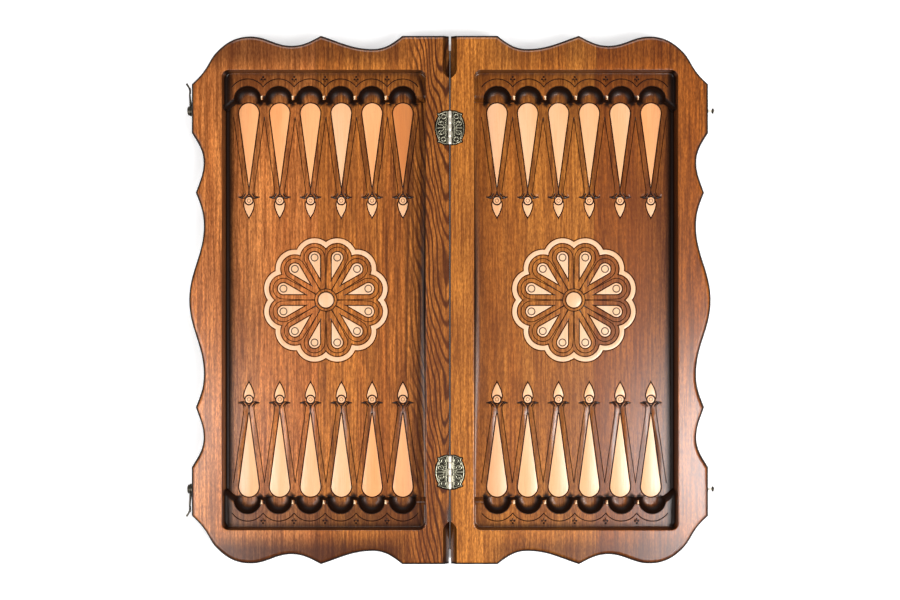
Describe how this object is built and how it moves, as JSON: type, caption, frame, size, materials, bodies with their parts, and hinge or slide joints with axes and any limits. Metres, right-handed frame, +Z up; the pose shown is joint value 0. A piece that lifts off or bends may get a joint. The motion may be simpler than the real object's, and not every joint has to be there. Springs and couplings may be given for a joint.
{
  "type": "folding backgammon board",
  "caption": "Two carved wooden trays hinged together as an open backgammon board, with inlaid points, round rosettes and side hooks.",
  "frame": {"origin": "under the middle of the hinge line, on the surface that the open board lies on", "axes": "+Z up out of the trays, +Y along the hinge line, +X to the tray that folds over"},
  "size_m": [0.6016, 0.6, 0.0405],
  "materials": {
    "left_wood": "glossy varnish over stained beech, darker towards the hinge line",
    "right_wood": "glossy varnish over stained beech",
    "light_wood": "glossy varnish over pale inlaid wood",
    "hinge_metal": "antique cast brass, darkened in its hollows",
    "bright_metal": "bright worn brass",
    "hook_metal": "dark patinated brass, satin"
  },
  "bodies": {
    "left_tray": {"left_case": "left_wood", "left_rosette_ring": "light_wood", "left_rosette_disc": "light_wood", "point_07": "light_wood", "point_08": "light_wood", "point_09": "light_wood", "point_10": "light_wood", "point_11": "light_wood", "point_12": "light_wood", "point_13": "light_wood", "point_14": "light_wood", "point_15": "light_wood", "point_16": "light_wood", "point_17": "light_wood", "point_18": "light_wood", "upper_hinge_left_leaf": "hinge_metal", "upper_hinge_left_nail_1": "bright_metal", "upper_hinge_left_nail_2": "bright_metal", "upper_hinge_pin": "bright_metal", "lower_hinge_left_leaf": "hinge_metal", "lower_hinge_left_nail_1": "bright_metal", "lower_hinge_left_nail_2": "bright_metal", "lower_hinge_pin": "bright_metal", "upper_hook_screw": "hook_metal", "lower_hook_screw": "hook_metal"},
    "right_tray": {"right_case": "right_wood", "right_rosette_ring": "light_wood", "right_rosette_disc": "light_wood", "point_01": "light_wood", "point_02": "light_wood", "point_03": "light_wood", "point_04": "light_wood", "point_05": "light_wood", "point_06": "light_wood", "point_19": "light_wood", "point_20": "light_wood", "point_21": "light_wood", "point_22": "light_wood", "point_23": "light_wood", "point_24": "light_wood", "upper_hinge_right_leaf": "hinge_metal", "upper_hinge_right_nail_1": "bright_metal", "upper_hinge_right_nail_2": "bright_metal", "lower_hinge_right_leaf": "hinge_metal", "lower_hinge_right_nail_1": "bright_metal", "lower_hinge_right_nail_2": "bright_metal", "upper_peg": "bright_metal", "lower_peg": "bright_metal"},
    "upper_hook": {"upper_hook": "hook_metal"},
    "lower_hook": {"lower_hook": "hook_metal"}
  },
  "joints": [
    {"name": "fold", "type": "hinge", "parent": "left_tray", "child": "right_tray", "pos_m": [0, 0, 0.0384], "axis": [0, -1, 0], "range_deg": [0, 180]},
    {"name": "upper_hook_swing", "type": "hinge", "parent": "left_tray", "child": "upper_hook", "pos_m": [-0.2956, 0.2155, 0.027], "axis": [1, 0, 0], "range_deg": [-30, 90]},
    {"name": "lower_hook_swing", "type": "hinge", "parent": "left_tray", "child": "lower_hook", "pos_m": [-0.2956, -0.2155, 0.027], "axis": [-1, 0, 0], "range_deg": [-30, 90]}
  ]
}
